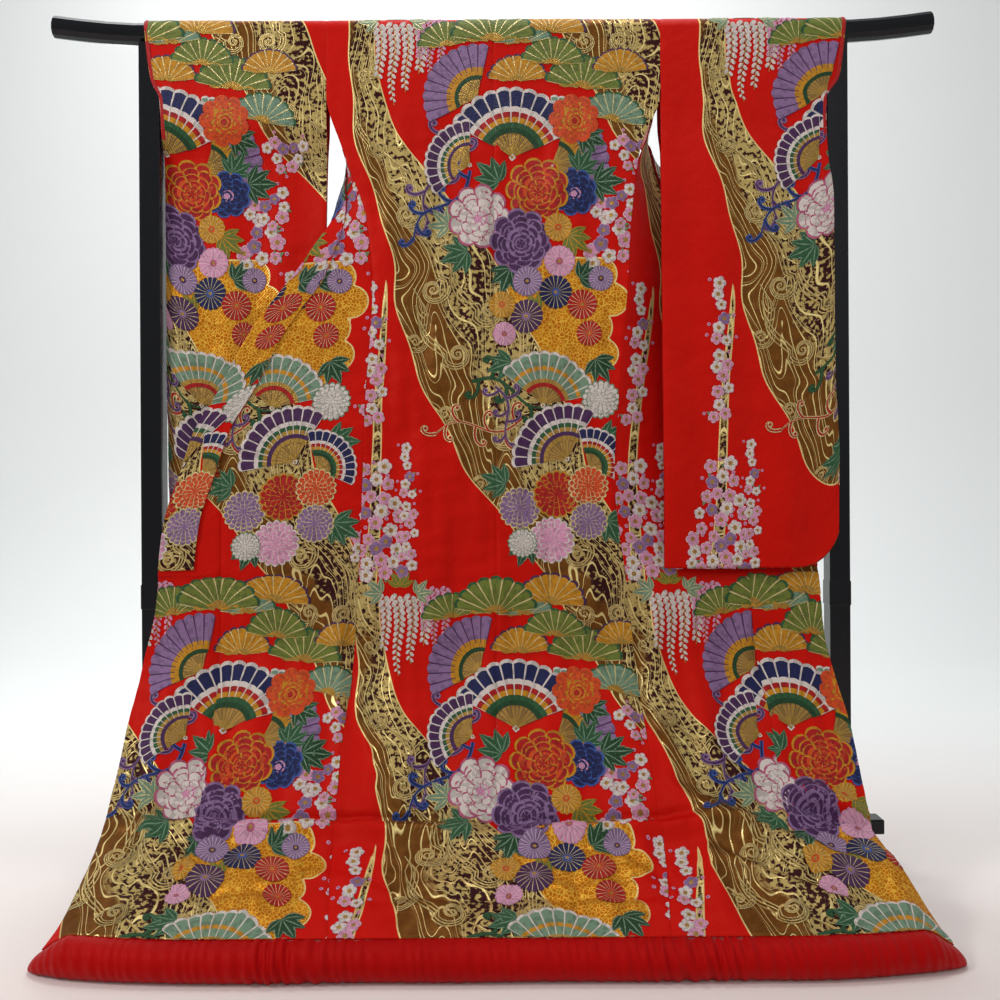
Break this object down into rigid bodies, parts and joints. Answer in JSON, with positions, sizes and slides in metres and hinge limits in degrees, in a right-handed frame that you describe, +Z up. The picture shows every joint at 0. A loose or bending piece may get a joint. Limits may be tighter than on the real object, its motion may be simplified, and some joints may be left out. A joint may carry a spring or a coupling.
{
  "type": "uchikake wedding kimono on a lacquered kimono stand",
  "caption": "Long padded-hem wedding kimono of red and gold brocade, hung back outwards over the rod of a black lacquered stand, with both fronts opened out.",
  "frame": {"origin": "centre of the overall footprint, at the floor", "axes": "+Z up, +X to the right of someone who faces the garment's back, and they look along +Y"},
  "size_m": [1.6452, 0.65, 1.6078],
  "materials": {
    "brocade": "figured silk brocade, red ground with gold and coloured floats",
    "red_silk": "red padded silk",
    "lining": "plain red silk lining",
    "lacquer": "black gloss lacquer"
  },
  "bodies": {
    "root": {"back_left": "brocade", "back_right": "brocade", "front_left": "brocade", "front_right": "brocade", "okumi_left": "brocade", "okumi_right": "brocade", "collar_left": "brocade", "collar_right": "brocade", "collar_back": "brocade", "sleeve_left": "brocade", "sleeve_right": "brocade", "hem_roll": "red_silk", "rod_top": "lacquer", "upright_left": "lacquer", "upright_right": "lacquer", "rail_lower": "lacquer", "foot_left": "lacquer", "foot_right": "lacquer"}
  },
  "joints": []
}
